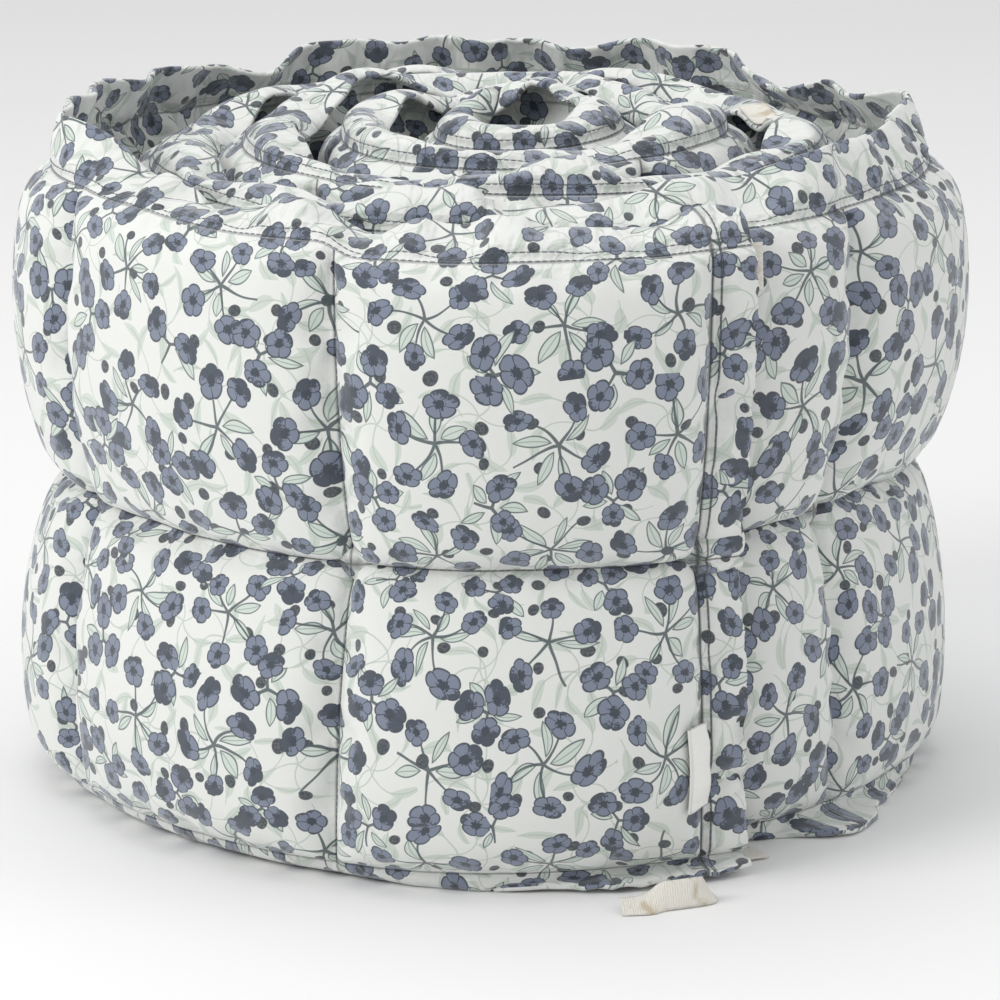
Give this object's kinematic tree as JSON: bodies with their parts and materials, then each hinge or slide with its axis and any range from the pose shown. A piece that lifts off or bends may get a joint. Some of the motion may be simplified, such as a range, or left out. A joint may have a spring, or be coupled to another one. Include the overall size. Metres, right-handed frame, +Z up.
{
  "type": "crib bumper",
  "caption": "Long padded crib bumper with two rows of puffed cells and a bare hem, rolled into a loose drum that stands on its edge, with tape ties and a folded side label.",
  "frame": {"origin": "middle of the outer box, on the surface that the roll stands on", "axes": "+Z up, the front of the roll with its outer end faces -Y, +X to the viewer's right"},
  "size_m": [0.4047, 0.4174, 0.3046],
  "materials": {
    "printed_cotton": "matte woven cotton with a small printed pattern",
    "cotton_tape": "undyed ribbed cotton tape",
    "label_tape": "smooth woven satin label, bare"
  },
  "bodies": {
    "root": {"quilted_pad_outer": "printed_cotton", "quilted_pad_second": "printed_cotton", "quilted_pad_core": "printed_cotton", "tie_bottom_front": "cotton_tape", "tie_bottom_back": "cotton_tape", "tie_top_outer": "cotton_tape", "tie_top_inner": "cotton_tape", "side_label": "label_tape"}
  },
  "joints": []
}
